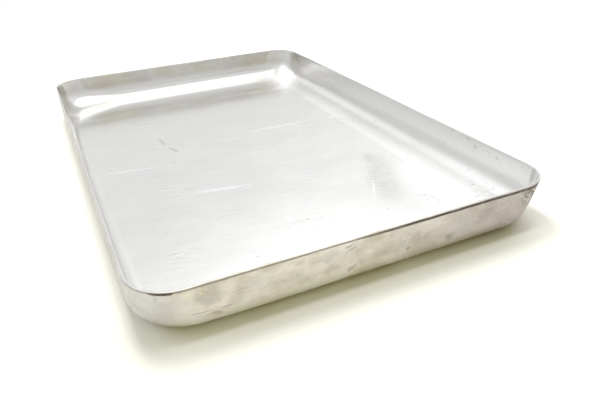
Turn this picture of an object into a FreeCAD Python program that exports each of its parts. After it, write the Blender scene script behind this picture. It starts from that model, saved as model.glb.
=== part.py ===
"""Shallow baking tray, pressed in one piece from aluminium sheet.

Frame: millimetres, +Z up. The origin is the middle of the underside, on the
plane that the tray stands on. The long side runs along Y, the short side
along X.

The walls are upright and end in a plain cut rim. They turn into the floor
over a wide round. In plan each corner is rounder at the foot than at the
rim, so that the corner leans in and looks like part of a ball, as the metal
comes off a drawing tool. The sheet has the same gauge all over: the outer
form and the hollow are two blocks of one kind, a gauge apart everywhere.
"""

import FreeCAD, Part
import os

PARTS_FOLDER = "parts"
NODE = "tray"

# Driving dimensions: alias, value in millimetres, what it is.
SIZES = [
    ("tray_width", 229.0, "outside, rim to rim along the short side"),
    ("tray_length", 356.0, "outside, rim to rim along the long side"),
    ("tray_height", 25.5, "underside of the floor to the top of the rim"),
    ("gauge", 1.2, "thickness of the sheet"),
    ("rim_corner", 22.0, "outside radius of a corner at the rim, in plan"),
    ("foot_corner", 37.0, "outside radius of a corner at the foot, in plan"),
    ("foot_round", 9.5, "outside radius between wall and floor"),
    ("rim_ease", 0.35, "rounding of both edges of the cut rim"),
]

# A point lies on a level when it is no further from it than this.
LEVEL_TOLERANCE = 0.001


def make_sheet(doc):
    """Spreadsheet with one row for each driving dimension."""
    sheet = doc.addObject("Spreadsheet::Sheet", "sizes")
    for row, (alias, value, note) in enumerate(SIZES, start=1):
        sheet.set(f"A{row}", alias)
        sheet.set(f"B{row}", str(value))
        sheet.set(f"C{row}", note)
        sheet.setAlias(f"B{row}", alias)
    doc.recompute()
    return sheet


def make_box(doc, name, width, length, bottom, top):
    """Box over the middle of the origin; the sizes are expressions on the cells."""
    box = doc.addObject("Part::Box", name)
    box.setExpression("Length", width)
    box.setExpression("Width", length)
    box.setExpression("Height", f"{top} - {bottom}")
    box.setExpression("Placement.Base.x", f"-({width}) / 2")
    box.setExpression("Placement.Base.y", f"-({length}) / 2")
    box.setExpression("Placement.Base.z", bottom)
    doc.recompute()
    return box


def upright_edges(shape):
    """Numbers of the straight edges that run from the bottom to the top."""
    height = shape.BoundBox.ZLength
    return [
        number
        for number, edge in enumerate(shape.Edges, start=1)
        if abs(edge.Length - height) < LEVEL_TOLERANCE
        and abs(edge.BoundBox.ZLength - height) < LEVEL_TOLERANCE
    ]


def edges_on_level(shape, level):
    """Numbers of the edges that lie wholly on one level."""
    return [
        number
        for number, edge in enumerate(shape.Edges, start=1)
        if abs(edge.BoundBox.ZMin - level) < LEVEL_TOLERANCE
        and abs(edge.BoundBox.ZMax - level) < LEVEL_TOLERANCE
    ]


def round_edges(doc, name, base, edges, first_radius, last_radius):
    """Fillet whose radius runs evenly from one end of each edge to the other.

    A fillet's radii can't be bound to cells, so they are worked out here from
    expressions on them.
    """
    fillet = doc.addObject("Part::Fillet", name)
    fillet.Base = base
    first = float(base.evalExpression(first_radius))
    last = float(base.evalExpression(last_radius))
    fillet.Edges = [(edge, first, last) for edge in edges]
    doc.recompute()
    return fillet


def make_form(doc, name, width, length, bottom, rim_corner, foot_corner, foot_round):
    """Block with rounded corners and foot, from the bottom level to the rim.

    A box's upright edges run upward, so the corner at the foot comes first.
    """
    box = make_box(doc, f"{name}_block", width, length, bottom, "sizes.tray_height")
    corners = round_edges(
        doc, f"{name}_corners", box, upright_edges(box.Shape), foot_corner, rim_corner)
    foot_level = float(box.evalExpression(bottom))
    foot_edges = edges_on_level(corners.Shape, foot_level)
    return round_edges(
        doc, f"{name}_foot", corners, foot_edges, foot_round, foot_round)


def make_tray(doc):
    """The outer form less the hollow, with both edges of the rim eased."""
    outside = make_form(
        doc, "outside",
        width="sizes.tray_width",
        length="sizes.tray_length",
        bottom="0",
        rim_corner="sizes.rim_corner",
        foot_corner="sizes.foot_corner",
        foot_round="sizes.foot_round")

    # The hollow starts a gauge up, where the outer corner is already less round.
    narrowing = "(sizes.foot_corner - sizes.rim_corner) * sizes.gauge / sizes.tray_height"
    hollow = make_form(
        doc, "hollow",
        width="(sizes.tray_width - 2 * sizes.gauge)",
        length="(sizes.tray_length - 2 * sizes.gauge)",
        bottom="sizes.gauge",
        rim_corner="sizes.rim_corner - sizes.gauge",
        foot_corner=f"sizes.foot_corner - sizes.gauge - {narrowing}",
        foot_round="sizes.foot_round - sizes.gauge")

    shell = doc.addObject("Part::Cut", "shell")
    shell.Base = outside
    shell.Tool = hollow
    doc.recompute()

    rim_level = float(shell.evalExpression("sizes.tray_height"))
    rim_edges = edges_on_level(shell.Shape, rim_level)
    tray = round_edges(doc, NODE, shell, rim_edges, "sizes.rim_ease", "sizes.rim_ease")
    tray.Label = NODE
    tray.Placement = FreeCAD.Placement()
    doc.recompute()
    return tray


def check(doc, parts):
    """Stop if a feature failed or a part's shape isn't one sound solid."""
    for item in doc.Objects:
        if "Invalid" in item.State or "Error" in item.State:
            raise RuntimeError(f"{item.Name} failed: {item.State}")
    for part in parts:
        shape = part.Shape
        if shape.isNull() or not shape.isValid() or len(shape.Solids) != 1:
            raise RuntimeError(f"{part.Label} is not one valid solid")


def write(parts):
    """Write each part to a STEP file named after its label."""
    os.makedirs(PARTS_FOLDER, exist_ok=True)
    for part in parts:
        part.Shape.exportStep(os.path.join(PARTS_FOLDER, f"{part.Label}.step"))
        box = part.Shape.optimalBoundingBox()
        print(f"{part.Label}: {box.XLength:.2f} x {box.YLength:.2f} x {box.ZLength:.2f} mm,"
              f" {part.Shape.Volume:.0f} mm3")


document = FreeCAD.newDocument("baking_tray")
make_sheet(document)
built = [make_tray(document)]
check(document, built)
write(built)
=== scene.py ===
"""Worn aluminium baking tray: the visible skin, its finish, the studio and the camera.

All lengths are in metres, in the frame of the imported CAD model: +Z up, the long side along Y,
the origin in the middle of the underside. Marks on the tray are placed in millimetres.
"""

import math
from collections import namedtuple

import bpy
import numpy as np
from mathutils import Euler, Matrix, Vector


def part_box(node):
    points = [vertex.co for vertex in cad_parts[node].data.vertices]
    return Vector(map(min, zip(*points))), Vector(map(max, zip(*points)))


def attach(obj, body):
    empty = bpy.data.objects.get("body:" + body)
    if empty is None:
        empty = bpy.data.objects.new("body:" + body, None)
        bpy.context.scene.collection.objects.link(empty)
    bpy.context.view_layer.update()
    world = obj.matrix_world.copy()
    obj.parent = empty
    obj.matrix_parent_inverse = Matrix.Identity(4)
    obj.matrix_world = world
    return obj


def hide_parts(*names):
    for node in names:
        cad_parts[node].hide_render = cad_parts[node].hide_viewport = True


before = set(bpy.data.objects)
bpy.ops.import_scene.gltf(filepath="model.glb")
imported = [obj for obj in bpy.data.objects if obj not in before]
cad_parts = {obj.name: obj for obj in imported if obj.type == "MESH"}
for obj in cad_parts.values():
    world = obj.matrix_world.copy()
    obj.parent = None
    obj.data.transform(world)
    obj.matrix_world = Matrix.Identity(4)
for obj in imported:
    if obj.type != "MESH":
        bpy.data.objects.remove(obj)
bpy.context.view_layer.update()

# ---------------------------------------------------------------- driving sizes
_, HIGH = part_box("tray")
HALF_WIDTH = HIGH.x
HALF_LENGTH = HIGH.y
HEIGHT = HIGH.z
GAUGE = 0.0012
RIM_CORNER = 0.022
FOOT_CORNER = 0.037
FOOT_ROUND = 0.0095
RIM_EASE = 0.00035

# the corners, from front left by the right to back left: the foot's corner radius, what is added to
# the foot round in the middle of the corner, and how far from the middle this starts and ends to fade
CORNERS = ((-1, -1), (1, -1), (1, 1), (-1, 1))
FOOT_CORNERS = (0.032, FOOT_CORNER, FOOT_CORNER, FOOT_CORNER)
CORNER_ROUNDS = (0.002, 0.012, 0.014, 0.012)
CORNER_BLENDS = ((0.008, 0.045), (0.0, 0.022), (0.0, 0.016), (0.004, 0.050))

# a shallow line pressed just under the rim outside: how far below the eased edge, and its depth there
LIP_LOW = 0.0018
LIP_ROWS = ((0.0014, 0.0), (0.0012, 0.00012), (0.0006, 0.00012), (0.0004, 0.0), (0.0001, 0.0))

# dents pushed up from below: x, y, radius, height
DENTS = ((0.087, 0.133, 0.012, 0.0007), (0.056, 0.134, 0.014, 0.0003))
# how far, at most, the floor is raised, the walls lean in and the rim is lowered, and the waves in which
# each of them comes and goes: how many, the shortest and the longest
FLOOR_RISE = 0.0004
FLOOR_WAVES = (14, 0.05, 0.3)
WALL_LEAN = 0.0003
WALL_WAVES = (12, 0.03, 0.25)
RIM_DROP = 0.00025
RIM_WAVES = (10, 0.02, 0.12)

# the mesh: steps along half a corner, the straight sides and the section's parts, and how far from a
# round the first row of the flat part beside it lies
STEPS_HALF_CORNER = 10
STRAIGHT_STEP = 0.0023
SHORT_STEPS = round(2 * (HALF_WIDTH - FOOT_CORNER) / STRAIGHT_STEP)
LONG_STEPS = round(2 * (HALF_LENGTH - FOOT_CORNER) / STRAIGHT_STEP)
GRID_X = SHORT_STEPS + 2 * STEPS_HALF_CORNER
GRID_Y = LONG_STEPS + 2 * STEPS_HALF_CORNER
STEPS_FOOT = 16
STEPS_WALL = 9
STEPS_EASE = 3
EDGE_MARGIN = 0.0005

SEED = 7


# ---------------------------------------------------------------- smooth random fields
def wave_field(seed, terms, shortest, longest, dims):
    """A seeded smooth field of several dimensions: a sum of sines, scaled to about -1 to 1."""
    draw = np.random.default_rng(seed)
    waves = []
    for _ in range(terms):
        length = shortest * (longest / shortest) ** draw.random()
        direction = draw.normal(size=dims)
        direction /= np.linalg.norm(direction)
        waves.append((direction * 2 * math.pi / length, draw.random() * 2 * math.pi, length / longest))
    total = sum(w[2] for w in waves) * 0.6

    def field(points):
        return sum(w[2] * np.sin(points @ w[0] + w[1]) for w in waves) / total

    return field


def smoothstep(x, start, end):
    """0 at the start and 1 at the end, with a soft change between."""
    t = np.clip((x - start) / (end - start), 0, 1)
    return t * t * (3 - 2 * t)


# ---------------------------------------------------------------- outline and section
def corner_point(corner, angle, radius):
    """A point of a corner's arc, at an angle from +X towards +Y."""
    sx, sy = CORNERS[corner]
    return (
        sx * (HALF_WIDTH - radius) + radius * math.cos(angle),
        sy * (HALF_LENGTH - radius) + radius * math.sin(angle),
    )


def corner_column(corner, angle):
    """The foot point, the rim point and the outward direction at an angle of a corner, in one row."""
    foot = corner_point(corner, angle, FOOT_CORNERS[corner])
    rim = corner_point(corner, angle, RIM_CORNER)
    return np.array((*foot, *rim, math.cos(angle), math.sin(angle)))


def perimeter():
    """All columns' foot points, rim points and outward directions, from the front left corner on."""
    columns = []
    eighth = math.radians(45)
    for side in range(4):
        after = (side + 1) % 4
        facing_out = math.radians(-90 + 90 * side)
        for i in range(STEPS_HALF_CORNER):
            columns.append(corner_column(side, facing_out - eighth * (1 - i / STEPS_HALF_CORNER)))
        start = corner_column(side, facing_out)
        end = corner_column(after, facing_out)
        steps = SHORT_STEPS if side % 2 == 0 else LONG_STEPS
        for i in range(steps + 1):
            columns.append(start * (1 - i / steps) + end * (i / steps))
        for i in range(1, STEPS_HALF_CORNER):
            columns.append(corner_column(after, facing_out + eighth * i / STEPS_HALF_CORNER))
    return np.split(np.array(columns), 3, axis=1)


def foot_rounds(foot):
    """The foot round of every column: larger towards the middle of a corner."""
    rounds = np.full(len(foot), FOOT_ROUND)
    for corner, extra in enumerate(CORNER_ROUNDS):
        outwards = math.atan2(CORNERS[corner][1], CORNERS[corner][0])
        middle = np.array(corner_point(corner, outwards, FOOT_CORNERS[corner]))
        away = np.linalg.norm(foot - middle, axis=1)
        rounds += extra * (1 - smoothstep(away, *CORNER_BLENDS[corner]))
    return rounds


class Shell:
    """The shell's columns: the wall's slope, the foot round and its centre, and points anywhere on them.

    A gauge of 0 gives points of the outside, and the sheet's gauge gives points of the inside.
    """

    def __init__(self):
        self.foot, rim, self.out = perimeter()
        self.ones = np.ones(len(self.foot))
        self.round = foot_rounds(self.foot)
        run = ((rim - self.foot) * self.out).sum(1)
        self.sideways = (rim - self.foot) - run[:, None] * self.out
        self.slope = np.arctan2(run, HEIGHT)
        self.centre = self.round * (np.tan(self.slope) - 1 / np.cos(self.slope))

    def place(self, outward, z):
        """Points at a distance outward from the foot line and at a height."""
        flat = self.foot + self.out * outward[:, None] + self.sideways * (z / HEIGHT)[:, None]
        return np.column_stack((flat, z))

    def on_floor(self, gauge):
        """On the underside or on the floor, just inward of the foot round."""
        return self.place(self.centre - EDGE_MARGIN, self.ones * gauge)

    def on_round(self, share, gauge):
        """On the foot round: share 0 is its edge on the floor and 1 its edge on the wall."""
        angle = math.pi / 2 + (self.slope - math.pi / 2) * share
        radius = self.round - gauge
        return self.place(self.centre + radius * np.cos(angle), self.round - radius * np.sin(angle))

    def on_wall(self, z, gauge, cut=0.0):
        """On the wall at a height, moved inward by a cut."""
        return self.place(z * np.tan(self.slope) - gauge / np.cos(self.slope) - cut, z)

    def wall_heights(self, gauge):
        """Heights of the wall's rows, from just above the foot round to the line under the rim."""
        start = self.round - (self.round - gauge) * np.sin(self.slope) + EDGE_MARGIN
        top = HEIGHT - RIM_EASE - LIP_LOW
        return [start + (top - start) * i / STEPS_WALL for i in range(STEPS_WALL + 1)]

    def outer_rows(self):
        """The rows of the outside, from the underside to the top of the rim."""
        rows = [self.on_floor(0)]
        rows += [self.on_round(i / STEPS_FOOT, 0) for i in range(STEPS_FOOT + 1)]
        rows += [self.on_wall(z, 0) for z in self.wall_heights(0)]
        rows += [self.on_wall(self.ones * (HEIGHT - RIM_EASE - drop), 0, cut) for drop, cut in LIP_ROWS]
        for i in range(STEPS_EASE + 1):
            angle = math.pi / 2 * i / STEPS_EASE
            z = self.ones * (HEIGHT - RIM_EASE * (1 - math.sin(angle)))
            rows.append(self.on_wall(z, 0, RIM_EASE * (1 - math.cos(angle))))
        return rows

    def inner_rows(self):
        """The rows of the inside, from the top of the rim to the floor."""
        rows = []
        for i in range(STEPS_EASE + 1):
            angle = math.pi / 2 * i / STEPS_EASE
            z = self.ones * (HEIGHT - RIM_EASE * (1 - math.cos(angle)))
            rows.append(self.on_wall(z, GAUGE, -RIM_EASE * (1 - math.sin(angle))))
        rows += [self.on_wall(z, GAUGE) for z in self.wall_heights(GAUGE)[::-1]]
        rows += [self.on_round(i / STEPS_FOOT, GAUGE) for i in range(STEPS_FOOT, -1, -1)]
        rows.append(self.on_floor(GAUGE))
        return rows


def band_quads(rows, count):
    """The quads between each row and the next one."""
    quads = []
    for row in range(rows - 1):
        a = row * count
        b = a + count
        for j in range(count):
            n = (j + 1) % count
            quads.append((a + j, a + n, b + n, b + j))
    return quads


def grid_fill(loop):
    """The inside of a loop as a grid of points, blended from its four sides."""
    front = loop[: GRID_X + 1]
    right = loop[GRID_X: GRID_X + GRID_Y + 1]
    back = loop[GRID_X + GRID_Y: 2 * GRID_X + GRID_Y + 1][::-1]
    left = np.vstack((loop[2 * GRID_X + GRID_Y:], loop[:1]))[::-1]
    u = np.linspace(0, 1, GRID_X + 1)[:, None, None]
    v = np.linspace(0, 1, GRID_Y + 1)[None, :, None]
    across = (1 - v) * front[:, None, :] + v * back[:, None, :]
    along = (1 - u) * left[None, :, :] + u * right[None, :, :]
    corners = (
        (1 - u) * (1 - v) * front[0]
        + u * (1 - v) * front[-1]
        + (1 - u) * v * back[0]
        + u * v * back[-1]
    )
    return across + along - corners


def grid_index(ring, count, first):
    """The vertex of every grid point: those of the ring along the edges, and new ones inside."""
    index = np.full((GRID_X + 1, GRID_Y + 1), -1)
    index[:, 0] = ring + np.arange(GRID_X + 1)
    index[GRID_X, :] = ring + GRID_X + np.arange(GRID_Y + 1)
    index[:, GRID_Y] = ring + GRID_X + GRID_Y + np.arange(GRID_X, -1, -1)
    index[0, :] = ring + (2 * GRID_X + GRID_Y + np.arange(GRID_Y, -1, -1)) % count
    inside = (GRID_X - 1, GRID_Y - 1)
    index[1:-1, 1:-1] = first + np.arange(inside[0] * inside[1]).reshape(inside)
    return index


def grid_quads(index, faces_up):
    """The quads of a grid, facing up or down."""
    quads = []
    for i in range(GRID_X):
        for j in range(GRID_Y):
            quad = (index[i, j], index[i + 1, j], index[i + 1, j + 1], index[i, j + 1])
            quads.append(quad if faces_up else quad[::-1])
    return quads


def build_shell():
    """Vertices, quads and each vertex's side (1 outside, 0 inside) of the closed shell."""
    shell = Shell()
    outer = shell.outer_rows()
    inner = shell.inner_rows()
    points = outer + inner
    count = len(shell.foot)
    quads = band_quads(len(points), count)
    sides = [np.ones(len(outer) * count), np.zeros(len(inner) * count)]
    total = len(points) * count
    for row, side in ((0, 1), (len(points) - 1, 0)):
        middle = grid_fill(points[row])[1:-1, 1:-1].reshape(-1, 3)
        quads += grid_quads(grid_index(row * count, count, total), side == 0)
        total += len(middle)
        points.append(middle)
        sides.append(np.full(len(middle), side))
    return np.vstack(points), quads, np.concatenate(sides)


# ---------------------------------------------------------------- wear in the shape
def toward_middle(flat):
    """The inward direction at each place: straight in along the sides, radial at the corners."""
    reach = np.array((HALF_WIDTH - FOOT_CORNER, HALF_LENGTH - FOOT_CORNER))
    inward = np.clip(flat, -reach, reach) - flat
    return inward / np.maximum(np.linalg.norm(inward, axis=1), 1e-6)[:, None]


def bend_shell(points):
    """Moves the shell as one thickness: an uneven floor, walls that lean in a little, a wavy rim."""
    moved = points.copy()
    flat = points[:, :2]
    edge = np.minimum(HALF_WIDTH - np.abs(flat[:, 0]), HALF_LENGTH - np.abs(flat[:, 1]))
    on_floor = smoothstep(edge, FOOT_ROUND * 1.1, FOOT_ROUND * 5)
    floor_field = wave_field(SEED, *FLOOR_WAVES, 2)
    moved[:, 2] += on_floor * FLOOR_RISE * (0.5 + 0.5 * np.clip(floor_field(flat), -1, 1))
    for x, y, radius, height in DENTS:
        moved[:, 2] += height * (1 - smoothstep(np.hypot(flat[:, 0] - x, flat[:, 1] - y), 0, radius))
    up_wall = smoothstep(points[:, 2], FOOT_ROUND, HEIGHT)
    near_wall = 1 - smoothstep(edge, 0.5 * FOOT_ROUND, FOOT_ROUND)
    lean_field = wave_field(SEED + 1, *WALL_WAVES, 3)
    lean = WALL_LEAN * np.clip(lean_field(points * (1, 1, 0.5)), 0, 1) * up_wall * near_wall
    moved[:, :2] += toward_middle(flat) * lean[:, None]
    rim_field = wave_field(SEED + 2, *RIM_WAVES, 2)
    moved[:, 2] -= up_wall ** 2 * near_wall * RIM_DROP * np.clip(rim_field(flat), 0, 1)
    return moved


def make_tray(material):
    """The tray's visible skin, whose attribute "outside" tells the finish which side a place is on."""
    points, quads, sides = build_shell()
    mesh = bpy.data.meshes.new("tray_skin")
    mesh.from_pydata(bend_shell(points).tolist(), [], quads)
    mesh.polygons.foreach_set("use_smooth", np.ones(len(quads), bool))
    outside = mesh.attributes.new("outside", "FLOAT", "POINT")
    outside.data.foreach_set("value", sides.astype(np.float32))
    mesh.update()
    mesh.validate()
    obj = bpy.data.objects.new("tray_skin", mesh)
    bpy.context.scene.collection.objects.link(obj)
    mesh.materials.append(material)
    return obj


# ---------------------------------------------------------------- shader helpers
MM = 0.001


class Nodes:
    """Short calls that add and link the nodes of one tree."""

    def __init__(self, tree):
        self.tree = tree
        tree.nodes.clear()

    def add(self, kind, **values):
        n = self.tree.nodes.new(kind)
        for key, value in values.items():
            setattr(n, key, value)
        return n

    def put(self, socket, value):
        """Links a socket or sets its value, and leaves it alone where the value is None."""
        if isinstance(value, bpy.types.NodeSocket):
            self.tree.links.new(value, socket)
        elif value is not None:
            socket.default_value = value

    def math(self, operation, a, b=None, c=None):
        """One operation on numbers."""
        n = self.add("ShaderNodeMath", operation=operation)
        for socket, value in zip(n.inputs, (a, b, c)):
            self.put(socket, value)
        return n.outputs[0]

    def vector(self, operation, a, b=None, scale=None):
        """One operation on vectors, which gives a number where the operation does."""
        n = self.add("ShaderNodeVectorMath", operation=operation)
        self.put(n.inputs[0], a)
        self.put(n.inputs[1], b)
        if scale is not None:
            self.put(n.inputs["Scale"], scale)
        return n.outputs["Value"] if operation in ("DOT_PRODUCT", "LENGTH") else n.outputs[0]

    def remap(self, value, low, high, to_low=0.0, to_high=1.0):
        """A soft change from one number to another while a value goes from low to high."""
        n = self.add("ShaderNodeMapRange", interpolation_type="SMOOTHSTEP")
        self.put(n.inputs["Value"], value)
        self.put(n.inputs["From Min"], low)
        self.put(n.inputs["From Max"], high)
        self.put(n.inputs["To Min"], to_low)
        self.put(n.inputs["To Max"], to_high)
        return n.outputs[0]

    def blend(self, factor, a, b):
        """A number between two numbers."""
        n = self.add("ShaderNodeMix", data_type="FLOAT")
        self.put(n.inputs["Factor"], factor)
        self.put(n.inputs[2], a)
        self.put(n.inputs[3], b)
        return n.outputs[0]

    def mix(self, factor, a, b):
        """A colour between two colours."""
        n = self.add("ShaderNodeMix", data_type="RGBA")
        self.put(n.inputs["Factor"], factor)
        self.put(n.inputs[6], a)
        self.put(n.inputs[7], b)
        return n.outputs[2]

    def tinted(self, colour, tone):
        """A colour made lighter or darker by a factor."""
        return self.vector("SCALE", colour, scale=tone)

    def strongest(self, values):
        """The largest of several numbers."""
        best = values[0]
        for value in values[1:]:
            best = self.math("MAXIMUM", best, value)
        return best

    def varied(self, base, field, amount):
        """A number that a noise field moves to both sides by up to half an amount."""
        return self.math("MULTIPLY_ADD", self.math("SUBTRACT", field, 0.5), amount, base)

    def local(self, place, size, centre=(0, 0, 0), turn=(0, 0, 0)):
        """Coordinates from a centre in units of a size, both in millimetres, turned in degrees."""
        n = self.add("ShaderNodeMapping", vector_type="TEXTURE")
        self.put(n.inputs["Vector"], place)
        self.put(n.inputs["Location"], [v * MM for v in centre])
        self.put(n.inputs["Rotation"], [math.radians(v) for v in turn])
        self.put(n.inputs["Scale"], [v * MM for v in size])
        return n.outputs[0]

    def noise(self, place, size, detail=2.0, rough=0.5, turn=(0, 0, 0), shift=(0, 0, 0)):
        """Noise with features of a size in millimetres along X, Y and Z; a shift moves the pattern."""
        n = self.add("ShaderNodeTexNoise")
        self.put(n.inputs["Vector"], self.local(place, size, shift, turn))
        self.put(n.inputs["Scale"], 1.0)
        self.put(n.inputs["Detail"], detail)
        self.put(n.inputs["Roughness"], rough)
        return n.outputs[0]

    def spot(self, place, centre, size, turn=(0, 0, 0), core=0.35):
        """1 in the middle of an ellipsoid, falling to 0 at its edge; in millimetres and degrees."""
        away = self.vector("SUBTRACT", place, [v * MM for v in centre])
        axes = Euler([math.radians(v) for v in turn]).to_matrix().transposed()
        squares = 0.0
        for axis, length in zip(axes, size):
            part = self.vector("DOT_PRODUCT", away, axis / (length * MM))
            squares = self.math("MULTIPLY_ADD", part, part, squares)
        return self.remap(self.math("SQRT", squares), core, 1.0, 1.0, 0.0)

    def zone(self, axes, limits):
        """1 in a zone and 0 outside it; the limits say, for X, Y and Z, where it begins and is full."""
        inside = 1.0
        for axis, limit in zip(axes, limits):
            if limit:
                inside = self.math("MULTIPLY", inside, self.remap(axis, *limit))
        return inside


def grey(value):
    return (value, value, value, 1)


# ---------------------------------------------------------------- the tray's finish
BARE = (0.82, 0.818, 0.812, 1)
OLIVE = (0.76, 0.72, 0.56, 1)
BROWN_STAIN = (0.70, 0.665, 0.625, 1)
YELLOW_SPOTS = (0.95, 0.93, 0.68, 1)
DARK_BARE = (0.58, 0.56, 0.535, 1)
PALE_BARE = (0.93, 0.93, 0.925, 1)
# painted highlight: the near white of the floor's front right corner
HIGHLIGHT_WHITE = grey(0.97)
TARNISH = (0.93, 0.885, 0.835, 1)
BROWN_TARNISH = (0.74, 0.685, 0.60, 1)
GREY_TARNISH = (0.49, 0.435, 0.435, 1)
CLEAN_OUTSIDE = (0.71, 0.69, 0.69, 1)
# dark dirt for the marks, and the colour of the painted shade line under the rim
DIRT_AND_SHADE = (0.10, 0.085, 0.065, 1)

# marks on the floor: x, y, half length, half width in millimetres, turn from +X in degrees, strength
PALE_WIPES = (
    (-87, 6, 22, 3.2, -11, 0.6),
    (-72, 3, 8, 1.4, 0, 0.75),
    (-98, -6, 6, 1.2, 5, 0.5),
    (-37, -53, 26, 3.4, -10, 0.75),
    (40, 31, 50, 2.8, 0, 0.55),
    (91, 30, 14, 2.4, 22, 0.7),
    (48, -98, 20, 1.0, 61, 0.7),
    (82, -60, 12, 1.0, 0, 0.4),
)
DARK_SCUFFS = (
    (-52, 47, 12, 1.7, 92, 0.8),
    (-48, 26, 9, 2.1, -65, 0.9),
    (-48, 75, 6, 0.6, -45, 0.6),
    (-86, 94, 6, 1.4, 37, 0.5),
    (-40, 33, 3, 0.5, -30, 0.6),
    (-60, 34, 4, 0.5, -20, 0.4),
    (-54, 4, 5, 2.2, 80, 0.3),
    (-70, -13, 6, 1.8, 0, 0.3),
    (5, 63, 4, 0.7, -25, 0.5),
    (57, 3, 2, 0.9, -20, 1.0),
    (-1, -73, 4, 0.5, -10, 0.5),
    (69, -58, 12, 4.5, 66, 0.45),
)
SMALL_MARKS = (
    (68, -55, 3.0, 0.6, -14, 0.7),
    (69, -68, 3.0, 0.7, -14, 0.8),
    (66, -75, 2.5, 0.7, -10, 0.9),
    (57, -86, 3.5, 0.7, -14, 0.8),
    (54, -99, 3.0, 0.6, -14, 0.6),
    (69, -123, 2.0, 1.2, -20, 0.9),
    (72, -127, 1.6, 1.2, 0, 0.8),
    (72, -133, 1.4, 1.2, 0, 0.7),
    (77, -120, 1.4, 1.0, 0, 0.7),
    (104, -125, 1.6, 1.4, 0, 0.9),
    (40, -126, 1.3, 1.1, 0, 1.0),
    (-6, -114, 1.4, 1.1, 0, 0.8),
    (0, -118, 1.1, 1.0, 0, 0.6),
    (29, -85, 1.2, 0.8, 0, 0.5),
    (-68, -35, 1.0, 0.9, 0, 0.9),
    (-89, -41, 1.0, 0.9, 0, 0.9),
    (-82, -90, 1.0, 0.9, 0, 0.9),
    (-20, -118, 1.0, 0.9, 0, 0.6),
)

# marks on the inside of the right wall: y, z, half length, half height in millimetres, turn, strength
RIGHT_MARKS = (
    (-90, 24.0, 1.8, 0.8, 0, 0.7),
    (-106, 23.2, 4.0, 0.8, 8, 0.8),
    (-113, 20.0, 1.9, 1.4, 0, 1.0),
    (-121, 20.9, 1.4, 0.7, 0, 0.7),
    (-125, 21.2, 2.4, 0.6, 10, 0.8),
    (-127, 19.0, 0.9, 1.2, 0, 0.6),
    (-133, 19.8, 1.5, 1.0, 0, 1.0),
    (-136, 17.8, 0.9, 0.8, 0, 0.5),
)

# marks on the outside of the front wall: x, z, half length, half height in millimetres, turn in degrees,
# strength
FRONT_DARK = (
    (-80, 8.5, 4, 2.0, -20, 0.5),
    (-15, 22.5, 4, 1.2, 10, 0.5),
    (-15, 10, 4, 1.4, 20, 0.45),
    (17, 11, 1.3, 0.8, 0, 1.0),
    (43, 10, 4, 3.0, 0, 0.45),
    (-105, 22, 0.6, 4, 0, 0.4),
)
FRONT_SCRATCHES = (
    (-88, 11.2, 8, 0.35, -3, 0.6),
    (-84, 9.4, 9, 0.3, -2, 0.5),
    (-82, 8.2, 6, 0.35, -5, 0.6),
    (-76, 10.6, 4, 0.4, 3, 0.7),
    (-70, 17, 7, 0.25, 2, 0.4),
    (-33, 19, 5, 0.25, -4, 0.4),
    (-14, 20.5, 3.5, 0.4, 14, 0.9),
    (-15, 9.0, 2.5, 0.4, 20, 0.8),
    (30, 16, 5, 0.25, 3, 0.4),
    (66, 19, 6, 0.25, -2, 0.4),
)
# brown stains: the large one under the rim at the left, fainter ones along the wall
FRONT_BROWN = (
    (-83, 19, 8, 7, 10, 0.9),
    (-72, 12, 6, 5, 0, 0.4),
    (-28, 20, 10, 4, 0, 0.5),
    (8, 14, 12, 6, 0, 0.4),
)
# where the front wall is scratched along its length
FRONT_SCRATCHED = (
    (-83, 9, 12, 5, 0, 0.2),
    (-15, 20, 5, 3, 10, 0.5),
    (-14, 9, 5, 4, 10, 0.8),
)
FRONT_PALE = (
    (50, 15, 9, 7, 0, 0.5),
    (-60, 17, 12, 4, 0, 0.4),
    (-100, 16, 6, 6, 0, 0.4),
)

# single places: centre, half sizes in millimetres, turn in degrees
# painted shade: a darker band on the floor where it mirrors less of the window
PAINTED_DIM_PATCH = ((62, -88, 0), (48, 16, 9), (0, 0, 66))
TICKED = ((60, -86, 0), (42, 13, 9), (0, 0, 66))
CROWDED = ((75, -127, 0), (16, 10, 9), (0, 0, -20))
OLIVE_LEFT = ((-66, 178, 17), (30, 30, 16), (0, 0, 0))
OLIVE_RIGHT = ((80, 178, 14), (26, 30, 14), (0, 0, 0))
# painted shade: a dark vertical streak under the rim in the front right inner corner
CORNER_SHADE_STREAK = ((112, -163, 21), (5, 3.5, 7), (0, 0, 0))
SPOTTED = ((-90, -HALF_LENGTH / MM, 22.5), (9, 20, 4), (0, 0, 0))
SCUFFED_CORNER = ((98, -174, 20), (14, 15, 9), (0, 0, 0))

# zones, in metres: for X, Y and Z, where the zone begins and where it is full (and its strength there and
# there, where that isn't 0 and 1), or None where it runs all along
UP_BACK_WALL = (None, (0.160, 0.172), (0.010, 0.016))
# painted highlight: the front of the floor by the right wall, painted near white
HIGHLIGHT_CORNER = ((0.05, 0.09), (-0.05, -0.12), (0.008, 0.004))
BY_RIGHT_WALL = ((0.060, 0.094), (0.02, -0.10, 0.35, 1.0), (0.016, 0.010))
BACK_FOOT = (None, (0.158, 0.165), (0.006, 0.003))
CLEAN_CORNER = ((-0.090, -0.108), (-0.120, -0.165, 0.7, 1.0), None)
FRONT_LEFT_CORNER = ((-0.095, -0.099), (-0.169, -0.174), None)

# zones that are lighter or darker than the rest, with the change of tone. Inside, all painted light and
# shade: the floor in front of the back wall (a painted lighter reflection), the foot of the right wall
# (painted shade), and the floor beside it (painted light).
INNER_PAINTED_LIGHT = (
    ((None, (0.116, 0.128), (0.009, 0.005)), 0.12),
    (((0.103, 0.106), None, (0.014, 0.010)), -0.05),
    (((0.086, 0.092), None, (0.006, 0.003)), 0.14),
)
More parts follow.
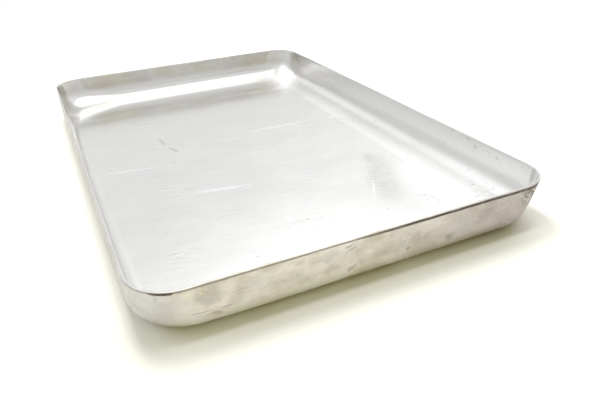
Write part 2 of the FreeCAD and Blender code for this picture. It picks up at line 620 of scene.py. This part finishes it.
# Outside: the left wall, darkened as painted shade against the bright floor it mirrors at a grazing
# angle, and the back wall.
OUTER_SHADES = (
    (((-0.106, -0.113), None, None), -0.12),
    ((None, (0.150, 0.170), None), -0.32),
)

Finish = namedtuple("Finish", "colour rough height metal")


def marks(k, place, kind, rows):
    """The strongest of several marks; their kind makes a spot's centre, half sizes and turn of a row."""
    strongest = 0.0
    for *row, strength in rows:
        mark = k.spot(place, *kind(*row))
        strongest = k.math("MAXIMUM", k.math("MULTIPLY", mark, strength), strongest)
    return strongest


def floor_mark(x, y, length, width, turn):
    """A mark on the floor, deep enough for the floor's rise."""
    return (x, y, 0), (length, width, 6), (0, 0, turn)


def right_wall_mark(y, z, length, height, turn):
    """A mark on the inside of the right wall, deep enough for the wall's slope."""
    return (HALF_WIDTH / MM, y, z), (12, length, height), (turn, 0, 0)


def front_wall_mark(x, z, length, height, turn):
    """A mark on the outside of the front wall, deep enough for the wall's slope."""
    return (x, -HALF_LENGTH / MM, z), (length, 20, height), (0, -turn, 0)


def ragged(k, place, amount):
    """The place moved about at random, so that what is drawn with it has uneven edges."""
    n = k.add("ShaderNodeTexNoise")
    k.put(n.inputs["Vector"], k.local(place, (4, 4, 4)))
    k.put(n.inputs["Scale"], 1.0)
    k.put(n.inputs["Detail"], 4.0)
    offset = k.vector("SUBTRACT", n.outputs["Color"], (0.5, 0.5, 0.5))
    return k.vector("ADD", place, k.vector("SCALE", offset, scale=amount * MM))


def floor_ticks(k, place, wall):
    """Short dark and pale ticks on the floor, in one worn place and in a few clouds elsewhere."""
    region = k.strongest([
        k.remap(k.noise(place, (28, 28, 28), 1, 0.5, (0, 0, 0), (11, 40, 0)), 0.52, 0.66, 0.0, 0.7),
        k.spot(place, *TICKED, 0.6),
    ])
    ticks = k.noise(place, (6.5, 0.9, 3), 1, 0.5, (0, 0, -14))
    region = k.math("MULTIPLY", region, k.math("SUBTRACT", 1.0, wall))
    dark = k.math("MULTIPLY", k.remap(ticks, 0.62, 0.70), region)
    pale = k.math("MULTIPLY", k.remap(ticks, 0.38, 0.30), region)
    return dark, pale


def inner_dark(k, place, loose, ticks):
    """Everything dark on the inside: scuffs, small marks, ticks and specks."""
    specks = k.remap(k.noise(place, (1.9, 1.4, 1.9), 0), 0.79, 0.83)
    crowd = k.spot(place, *CROWDED, 0.5)
    crowded = k.math("MULTIPLY", k.remap(k.noise(place, (2.6, 1.6, 2), 1), 0.60, 0.68), crowd)
    return k.strongest([
        marks(k, loose, floor_mark, DARK_SCUFFS),
        marks(k, ragged(k, place, 1.0), floor_mark, SMALL_MARKS),
        k.math("MULTIPLY", ticks, 0.8),
        k.math("MULTIPLY", specks, 0.8),
        k.math("MULTIPLY", crowded, 0.55),
        marks(k, ragged(k, place, 1.2), right_wall_mark, RIGHT_MARKS),
    ])


def back_stains(k, place, loose, up_back):
    """The olive and the brown mottling of the back wall."""
    olive = k.strongest([
        k.math("MULTIPLY", k.spot(loose, *OLIVE_LEFT, 0.3), 0.65),
        k.math("MULTIPLY", k.spot(place, *OLIVE_RIGHT, 0.3), 0.8),
        k.remap(k.noise(place, (40, 40, 24), 2, 0.5, (0, 0, 0), (5, 0, 0)), 0.40, 0.75),
    ])
    olive = k.math("MULTIPLY", olive, k.math("MULTIPLY_ADD", up_back, 0.95, 0.05))
    brown = k.remap(k.noise(place, (24, 24, 15), 3, 0.55, (0, 0, 0), (31, 0, 0)), 0.40, 0.72)
    return olive, k.math("MULTIPLY", brown, up_back)


def inner_tone(k, place, axes, streaks, cloud, up_back, painted_dim_patch):
    """How much lighter or darker than its colour each place of the inside is; some of it is painted light
    and shade.
    """
    tone = k.varied(1.0, streaks, 0.07)
    tone = k.varied(tone, cloud, 0.10)
    # painted shade: the back wall darker just above its foot round
    painted_foot_shade = k.math("MULTIPLY", up_back, k.remap(axes[2], 0.022, 0.012))
    tone = k.math("MULTIPLY_ADD", painted_foot_shade, -0.12, tone)
    tone = k.math("MULTIPLY_ADD", up_back, -0.05, tone)
    # painted shade: the darker band on the floor at the front right
    tone = k.math("MULTIPLY_ADD", painted_dim_patch, -0.15, tone)
    # painted light and shade in the listed zones
    for limits, change in INNER_PAINTED_LIGHT:
        tone = k.math("MULTIPLY_ADD", k.zone(axes, limits), change, tone)
    # painted shade: the dark streak in the front right inner corner
    return k.math("MULTIPLY_ADD", k.spot(place, *CORNER_SHADE_STREAK, 0.3), -0.30, tone)


def inner_rough(k, axes, streaks, cloud, pale):
    """The roughness of the inside: smooth at the back, worn at the right, dull beside the right wall."""
    x, y, z = axes
    worn = k.remap(k.math("SUBTRACT", x, k.math("MULTIPLY", y, 0.35)), -0.02, 0.09)
    rough = k.math("MULTIPLY_ADD", worn, 0.07, k.remap(y, 0.02, 0.12, 0.24, 0.17))
    rough = k.blend(k.zone(axes, BY_RIGHT_WALL), rough, 0.58)
    rough = k.math("MULTIPLY_ADD", k.zone(axes, BACK_FOOT), 0.10, rough)
    rough = k.varied(rough, cloud, 0.10)
    rough = k.math("MULTIPLY_ADD", pale, 0.10, rough)
    return k.varied(rough, streaks, 0.07)


def inner_finish(k, place, axes, wall):
    """The finish of the inside: bright sheet, wiped along X, scuffed and specked, with some painted light
    and shade.
    """
    loose = ragged(k, place, 2.5)
    cloud = k.noise(place, (45, 30, 30), 3, 0.55)
    wiped = k.noise(place, (30, 2.2, 2.2), 4, 0.62, (0, 0, -8))
    drawn = k.noise(place, (25, 25, 1.6), 3, 0.6)
    streaks = k.blend(wall, wiped, drawn)
    painted_dim_patch = k.spot(loose, *PAINTED_DIM_PATCH, 0.3)
    dark_ticks, pale_ticks = floor_ticks(k, place, wall)
    dark = inner_dark(k, place, loose, dark_ticks)
    pale = k.strongest([marks(k, loose, floor_mark, PALE_WIPES), k.math("MULTIPLY", pale_ticks, 0.8)])
    up_back = k.zone(axes, UP_BACK_WALL)
    olive, brown = back_stains(k, place, loose, up_back)
    tone = inner_tone(k, place, axes, streaks, cloud, up_back, painted_dim_patch)
    colour = k.mix(olive, BARE, OLIVE)
    colour = k.mix(k.math("MULTIPLY", brown, 0.9), colour, BROWN_STAIN)
    colour = k.tinted(colour, tone)
    # painted highlight on the floor by the right wall at the front
    colour = k.mix(k.zone(axes, HIGHLIGHT_CORNER), colour, HIGHLIGHT_WHITE)
    colour = k.mix(k.math("MULTIPLY", pale, 0.9), colour, PALE_BARE)
    colour = k.mix(k.math("MULTIPLY", dark, 0.75), colour, DARK_BARE)
    rough = inner_rough(k, axes, streaks, cloud, pale)
    height = k.varied(0.0, streaks, 0.006)
    height = k.math("MULTIPLY_ADD", dark_ticks, -0.012, height)
    height = k.math("MULTIPLY_ADD", pale_ticks, 0.006, height)
    return Finish(colour, rough, height, 1.0)


def outer_dark(k, place, loose, dotted):
    """Everything dark on the outside but the rim: stains, scratches and dots."""
    broken = k.remap(k.noise(place, (5, 5, 1.3), 4, 0.7, (0, 12, 0)), 0.36, 0.60)
    scratches = k.remap(k.noise(place, (6, 6, 0.55), 1, 0.5, (0, 4, 0)), 0.60, 0.68)
    stains = marks(k, loose, front_wall_mark, FRONT_DARK)
    scratched = k.math("MAXIMUM", marks(k, place, front_wall_mark, FRONT_SCRATCHED), 0.07)
    return k.strongest([
        k.math("MULTIPLY", stains, k.math("MULTIPLY_ADD", broken, 0.75, 0.25)),
        k.math("MULTIPLY", scratches, scratched),
        k.math("MULTIPLY", marks(k, ragged(k, place, 1.0), front_wall_mark, FRONT_SCRATCHES), 0.9),
        k.math("MULTIPLY", dotted, 0.5),
    ])


def outer_tone(k, axes, patches, rubs, low):
    """How much lighter or darker than its colour each place of the outside is; some of it is painted
    light and shade.
    """
    tone = k.varied(1.06, patches, -0.42)
    tone = k.varied(tone, rubs, 0.22)
    # painted light: the foot of the front wall made lighter, more at the left, against the floor's shadow
    # that it mirrors
    tone = k.math("MULTIPLY_ADD", low, k.remap(axes[0], -0.06, 0.06, 0.26, 0.10), tone)
    for limits, change in OUTER_SHADES:
        tone = k.math("MULTIPLY_ADD", k.zone(axes, limits), change, tone)
    return tone


def tarnish(k, axes, clouds, front, clean):
    """The colour of the outside under its marks: beige and brown, greyer at the right and the sides."""
    side = k.remap(k.math("ABSOLUTE", axes[0]), 0.098, 0.112)
    right = k.math("MULTIPLY", k.remap(axes[0], -0.02, 0.10), front)
    colour = k.mix(k.remap(clouds, 0.40, 0.66), TARNISH, BROWN_TARNISH)
    colour = k.mix(k.math("MULTIPLY", k.math("MAXIMUM", right, side), 0.8), colour, GREY_TARNISH)
    return k.mix(clean, colour, CLEAN_OUTSIDE)


def stained(k, place, loose, colour):
    """The pale and the brown places of the front wall."""
    pale = k.math("MULTIPLY", marks(k, loose, front_wall_mark, FRONT_PALE), 0.5)
    colour = k.mix(pale, colour, CLEAN_OUTSIDE)
    brown = k.math("MULTIPLY", marks(k, ragged(k, place, 6.0), front_wall_mark, FRONT_BROWN), 0.75)
    colour = k.mix(brown, colour, BROWN_TARNISH)
    return k.mix(k.math("MULTIPLY", brown, 0.5), colour, DARK_BARE)


def stain_edges(k, clouds, patches):
    """Thin pale lines along some edges of the tarnish's clouds."""
    edges = k.remap(k.math("ABSOLUTE", k.math("SUBTRACT", clouds, 0.53)), 0.016, 0.003)
    return k.math("MULTIPLY", edges, k.remap(patches, 0.40, 0.55))


def yellow_spots(k, place):
    """Small spots under the rim at the left of the front wall."""
    spots = k.remap(k.noise(place, (1.5, 1.5, 1.1), 1), 0.52, 0.60)
    return k.math("MULTIPLY", spots, k.spot(place, *SPOTTED, 0.4))


def outer_metal(k, clouds, clean, low, rim):
    """How much the outside mirrors: less where it is tarnished, nothing in the painted shade line under
    the rim.
    """
    metal = k.varied(0.55, clouds, -0.5)
    metal = k.math("MULTIPLY_ADD", clean, 0.3, metal)
    metal = k.math("MULTIPLY_ADD", low, -0.15, metal)
    return k.math("MULTIPLY", metal, k.math("SUBTRACT", 1.0, rim))


def outer_finish(k, place, axes):
    """The finish of the outside: patchy beige tarnish with rubs and scuffs, and painted light and shade
    in places.
    """
    loose = ragged(k, place, 3.0)
    clouds = k.noise(loose, (26, 26, 15), 4, 0.62, (0, 0, 0), (3, 0, 2))
    patches = k.noise(loose, (9, 9, 6), 4, 0.6)
    rubs = k.noise(place, (16, 16, 1.1), 4, 0.62)
    grit = k.noise(place, (1.3, 1.3, 1.1), 2, 0.6)
    front = k.remap(axes[1], -0.150, -0.170)
    low = k.math("MULTIPLY", front, k.remap(axes[2], 0.014, 0.003))
    clean = k.zone(axes, CLEAN_CORNER)
    colour = k.tinted(tarnish(k, axes, clouds, front, clean), outer_tone(k, axes, patches, rubs, low))
    dots = k.remap(k.noise(place, (1.7, 1.7, 1.0), 1), 0.76, 0.82)
    dotted = k.math("MULTIPLY", dots, k.remap(clouds, 0.40, 0.60))
    dark = outer_dark(k, place, loose, dotted)
    scuffed = k.remap(k.noise(place, (5, 5, 1.4), 4, 0.7, (0, 35, 0)), 0.43, 0.53)
    scuffed = k.math("MULTIPLY", scuffed, k.spot(place, *SCUFFED_CORNER, 0.3))
    colour = stained(k, place, loose, colour)
    colour = k.mix(k.math("MULTIPLY", stain_edges(k, clouds, patches), 0.30), colour, PALE_BARE)
    colour = k.mix(k.math("MULTIPLY", yellow_spots(k, place), 0.7), colour, YELLOW_SPOTS)
    colour = k.mix(k.math("MULTIPLY", dark, 0.7), colour, DIRT_AND_SHADE)
    colour = k.mix(k.math("MULTIPLY", scuffed, 0.75), colour, DIRT_AND_SHADE)
    # painted shade: the dark line under the rim's lip
    rim = rim_shade_line(k, place, axes)
    colour = k.mix(rim, colour, DIRT_AND_SHADE)
    rough = k.varied(0.48, patches, 0.16)
    metal = outer_metal(k, clouds, clean, low, rim)
    height = k.varied(0.0, rubs, 0.010)
    height = k.varied(height, grit, 0.008)
    height = k.math("MULTIPLY_ADD", k.math("MAXIMUM", dotted, scuffed), -0.012, height)
    return Finish(colour, rough, height, metal)


def rim_shade_line(k, place, axes):
    """Painted shade in the line pressed under the rim, drawn in the dirt colour: heavy towards the right
    and in the front left corner.
    """
    x, y, z = axes
    wobble = k.math("MULTIPLY", k.math("SUBTRACT", k.noise(place, (9, 9, 9), 3), 0.5), 0.5 * MM)
    below = k.math("ADD", k.math("SUBTRACT", HEIGHT, z), wobble)
    front = k.remap(y, -0.120, -0.165)
    heavy = k.strongest([k.remap(x, -0.02, 0.02, 0.6, 1.0), k.zone(axes, FRONT_LEFT_CORNER)])
    heavy = k.math("MULTIPLY", heavy, k.math("MULTIPLY_ADD", front, 0.85, 0.15))
    width = k.math("MULTIPLY_ADD", heavy, 1.2 * MM, 0.4 * MM)
    faded = k.math("ADD", width, 0.5 * MM)
    starts = k.remap(below, RIM_EASE, RIM_EASE + 0.2 * MM)
    band = k.math("MULTIPLY", starts, k.remap(below, faded, width))
    broken = k.remap(k.noise(place, (4, 4, 4), 3, 0.6), 0.30, 0.50, 0.8, 1.0)
    return k.math("MULTIPLY", band, k.math("MULTIPLY", heavy, broken))


def make_metal():
    """The worn aluminium: one finish inside and another outside."""
    material = bpy.data.materials.new("worn_aluminium")
    material.use_nodes = True
    k = Nodes(material.node_tree)
    place = k.add("ShaderNodeTexCoord").outputs["Object"]
    outside = k.add("ShaderNodeAttribute", attribute_name="outside").outputs["Fac"]
    split = k.add("ShaderNodeSeparateXYZ")
    k.put(split.inputs[0], place)
    axes = split.outputs[:3]
    wall = k.remap(axes[2], 0.002, 0.008)
    inner = inner_finish(k, place, axes, wall)
    outer = outer_finish(k, place, axes)
    bump = k.add("ShaderNodeBump")
    bump.inputs["Distance"].default_value = MM
    k.put(bump.inputs["Height"], k.blend(outside, inner.height, outer.height))
    shader = k.add("ShaderNodeBsdfPrincipled")
    k.put(shader.inputs["Metallic"], k.blend(outside, inner.metal, outer.metal))
    k.put(shader.inputs["Base Color"], k.mix(outside, inner.colour, outer.colour))
    k.put(shader.inputs["Roughness"], k.blend(outside, inner.rough, outer.rough))
    k.put(shader.inputs["Normal"], bump.outputs[0])
    output = k.add("ShaderNodeOutputMaterial")
    k.put(output.inputs["Surface"], shader.outputs[0])
    return material


# ---------------------------------------------------------------- studio
FLOOR_HALF = 8.0
# how white the camera sees the floor: above 1, so that its faintest shadow is as white as the background
FLOOR_WHITE = 1.15
# how far from the tray the camera sees the floor go over into the plain white background
FLOOR_FADE = (0.45, 0.85)
# keeps the floor clear of the tray's underside
FLOOR_GAP = 0.0001

# azimuths run from +Y towards +X and elevations up from the horizon, all in degrees; the sky's patches
# have a soft edge, from the angle of the edge to the angle of the core
CAMERA_AZIMUTH = 24.48
CAMERA_DOWN = 28.46
CAMERA_ROLL = -2.3
CAMERA_PLACE = Vector((-0.1264, -0.3684, 0.1646))
CAMERA_LENS = 34.1

CEILING_AT = (24, 84)
CEILING_EDGE = 51
CEILING_CORE = 34
CEILING = grey(1.7)
WINDOW_AT = (34, 53)
WINDOW_EDGE = 26
WINDOW_CORE = 14
WINDOW = grey(1.8)
CURTAIN_AT = (-8, 56)
CURTAIN_EDGE = 15
CURTAIN_CORE = 9
CURTAIN = grey(0.72)
ROOM_AHEAD_AT = (24, 0)
ROOM_BEHIND = (0.76, 0.755, 0.74, 1)
ROOM_AHEAD = grey(0.90)
AMBIENT_FRONT = (0.12, 0.11, 0.0, 1)
AMBIENT_BACK = (0.36, 0.36, 0.28, 1)
AMBIENT_SIDES = (0.44, 0.43, 0.20, 1)
AMBIENT_SIDE_FROM = 0.65

LAMP_AWAY = 2.0
STRIP_SIZE = (0.5, 1.4)
STRIP_UP = 53
STRIP_LEVEL = 0.43
STRIP_COLOUR = (1.0, 1.0, 0.98)
FILL_SIZE = (1.4, 1.4)
FILL_AT = 65
FILL_UP = 42
FILL_RIGHT = 0.26
FILL_LEFT = 0.12
FILL_COLOUR = (1.0, 1.0, 1.08)
TUBE_SIZE = (1.0, 0.12)
TUBE_AWAY = 1.5
TUBE_LEVEL = 0.18
TUBE_COLOUR = (1.0, 0.98, 0.93)
LAMP_SAMPLES = 24


def facing(azimuth, elevation):
    """The direction that points to an azimuth (from +Y towards +X) and an elevation, in degrees."""
    a = math.radians(azimuth)
    e = math.radians(elevation)
    return Vector((math.sin(a) * math.cos(e), math.cos(a) * math.cos(e), math.sin(e)))


def floor_material():
    """White, and for the camera a white that goes over into the background."""
    material = bpy.data.materials.new("pale_floor")
    material.use_nodes = True
    k = Nodes(material.node_tree)
    seen = k.add("ShaderNodeLightPath").outputs["Is Camera Ray"]
    diffuse = k.add("ShaderNodeBsdfDiffuse")
    k.put(diffuse.inputs["Color"], k.mix(seen, grey(1.0), grey(FLOOR_WHITE)))
    away = k.vector("LENGTH", k.add("ShaderNodeTexCoord").outputs["Object"])
    background = k.add("ShaderNodeEmission")
    both = k.add("ShaderNodeMixShader")
    k.put(both.inputs[0], k.math("MULTIPLY", k.remap(away, *FLOOR_FADE), seen))
    k.put(both.inputs[1], diffuse.outputs[0])
    k.put(both.inputs[2], background.outputs[0])
    output = k.add("ShaderNodeOutputMaterial")
    k.put(output.inputs["Surface"], both.outputs[0])
    return material


def make_floor():
    mesh = bpy.data.meshes.new("floor")
    s = FLOOR_HALF
    mesh.from_pydata([(-s, -s, 0), (s, -s, 0), (s, s, 0), (-s, s, 0)], [], [(0, 1, 2, 3)])
    mesh.transform(Matrix.Translation((0, 0, -FLOOR_GAP)))
    obj = bpy.data.objects.new("floor", mesh)
    bpy.context.scene.collection.objects.link(obj)
    mesh.materials.append(floor_material())


def sky_patch(k, direction, at, edge, core):
    """1 round a direction and 0 from the edge on, the edge and the core in degrees away from it."""
    near = k.vector("DOT_PRODUCT", direction, facing(*at))
    return k.remap(near, math.cos(math.radians(edge)), math.cos(math.radians(core)))


def mirrored_room(k, direction):
    """What the metal mirrors: a room with a bright ceiling, a window and a grey curtain."""
    ahead = k.remap(k.vector("DOT_PRODUCT", direction, facing(*ROOM_AHEAD_AT)), -0.3, 0.6)
    room = k.mix(ahead, ROOM_BEHIND, ROOM_AHEAD)
    room = k.mix(sky_patch(k, direction, CEILING_AT, CEILING_EDGE, CEILING_CORE), room, CEILING)
    room = k.mix(sky_patch(k, direction, WINDOW_AT, WINDOW_EDGE, WINDOW_CORE), room, WINDOW)
    return k.mix(sky_patch(k, direction, CURTAIN_AT, CURTAIN_EDGE, CURTAIN_CORE), room, CURTAIN)


def ambient_light(k, direction):
    """The soft light on the floor and on dull metal: dim from the front, brighter from elsewhere."""
    parts = k.add("ShaderNodeSeparateXYZ")
    k.put(parts.inputs[0], direction)
    front = k.remap(k.math("MULTIPLY", parts.outputs[1], -1.0), 0.1, 0.8)
    side = k.remap(k.math("ABSOLUTE", parts.outputs[0]), AMBIENT_SIDE_FROM, 1.0)
    return k.mix(side, k.mix(front, AMBIENT_BACK, AMBIENT_FRONT), AMBIENT_SIDES)


def make_world():
    """White for the camera, the room for metal that is seen directly, the ambient light for the rest."""
    world = bpy.data.worlds.new("studio")
    bpy.context.scene.world = world
    world.use_nodes = True
    k = Nodes(world.node_tree)
    direction = k.add("ShaderNodeTexCoord").outputs["Generated"]
    rays = k.add("ShaderNodeLightPath")
    room = mirrored_room(k, direction)
    ambient = ambient_light(k, direction)
    direct = k.remap(rays.outputs["Diffuse Depth"], 0.5, 0.4)
    mirrored = k.math("MULTIPLY", rays.outputs["Is Glossy Ray"], direct)
    unseen = k.mix(mirrored, ambient, room)
    seen = k.mix(rays.outputs["Is Camera Ray"], unseen, grey(1.0))
    shader = k.add("ShaderNodeBackground")
    k.put(shader.inputs["Color"], seen)
    output = k.add("ShaderNodeOutputWorld")
    k.put(output.inputs["Surface"], shader.outputs[0])


def lamp_reach(size, across, upward, toward, away):
    """What a lamp of power 1 adds to the floor at the tray, summed over a grid of its face."""
    reach = 0.0
    for i in range(LAMP_SAMPLES):
        for j in range(LAMP_SAMPLES):
            part = toward * away
            part = part + across * size[0] * ((i + 0.5) / LAMP_SAMPLES - 0.5)
            part = part + upward * size[1] * ((j + 0.5) / LAMP_SAMPLES - 0.5)
            reach += part.z * part.dot(toward) / part.length_squared ** 2
    return reach / (math.pi ** 2 * LAMP_SAMPLES ** 2)


def make_lamp(name, size, azimuth, elevation, away, level, colour):
    """A flat lamp that faces the tray; level is what it adds to a white floor at the tray."""
    toward = facing(azimuth, elevation)
    across = facing(azimuth + 90, 0)
    upward = toward.cross(across)
    lamp = bpy.data.lights.new(name, "AREA")
    lamp.shape = "RECTANGLE"
    lamp.size, lamp.size_y = size
    lamp.color = colour
    lamp.energy = level / lamp_reach(size, across, upward, toward, away)
    obj = bpy.data.objects.new(name, lamp)
    bpy.context.scene.collection.objects.link(obj)
    turned = Matrix((across, upward, toward)).transposed()
    obj.matrix_world = Matrix.Translation(toward * away) @ turned.to_4x4()
    obj.visible_glossy = False


def make_camera():
    data = bpy.data.cameras.new("camera")
    data.lens = CAMERA_LENS
    data.sensor_width = 36
    data.clip_start = 0.01
    obj = bpy.data.objects.new("camera", data)
    bpy.context.scene.collection.objects.link(obj)
    ahead = facing(CAMERA_AZIMUTH, -CAMERA_DOWN)
    level = facing(CAMERA_AZIMUTH + 90, 0)
    upright = level.cross(ahead)
    roll = math.radians(CAMERA_ROLL)
    right = level * math.cos(roll) + upright * math.sin(roll)
    up = upright * math.cos(roll) - level * math.sin(roll)
    turn = Matrix((right, up, -ahead)).transposed()
    obj.matrix_world = Matrix.Translation(CAMERA_PLACE) @ turn.to_4x4()
    bpy.context.scene.camera = obj


# ---------------------------------------------------------------- everything together
tray = make_tray(make_metal())
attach(tray, "root")
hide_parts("tray")
make_floor()
make_world()
make_lamp("strip", STRIP_SIZE, 0, STRIP_UP, LAMP_AWAY, STRIP_LEVEL, STRIP_COLOUR)
make_lamp("tube", TUBE_SIZE, 0, 90, TUBE_AWAY, TUBE_LEVEL, TUBE_COLOUR)
make_lamp("right", FILL_SIZE, FILL_AT, FILL_UP, LAMP_AWAY, FILL_RIGHT, FILL_COLOUR)
make_lamp("left", FILL_SIZE, -FILL_AT, FILL_UP, LAMP_AWAY, FILL_LEFT, FILL_COLOUR)
make_camera()
bpy.context.scene.view_settings.view_transform = "Standard"
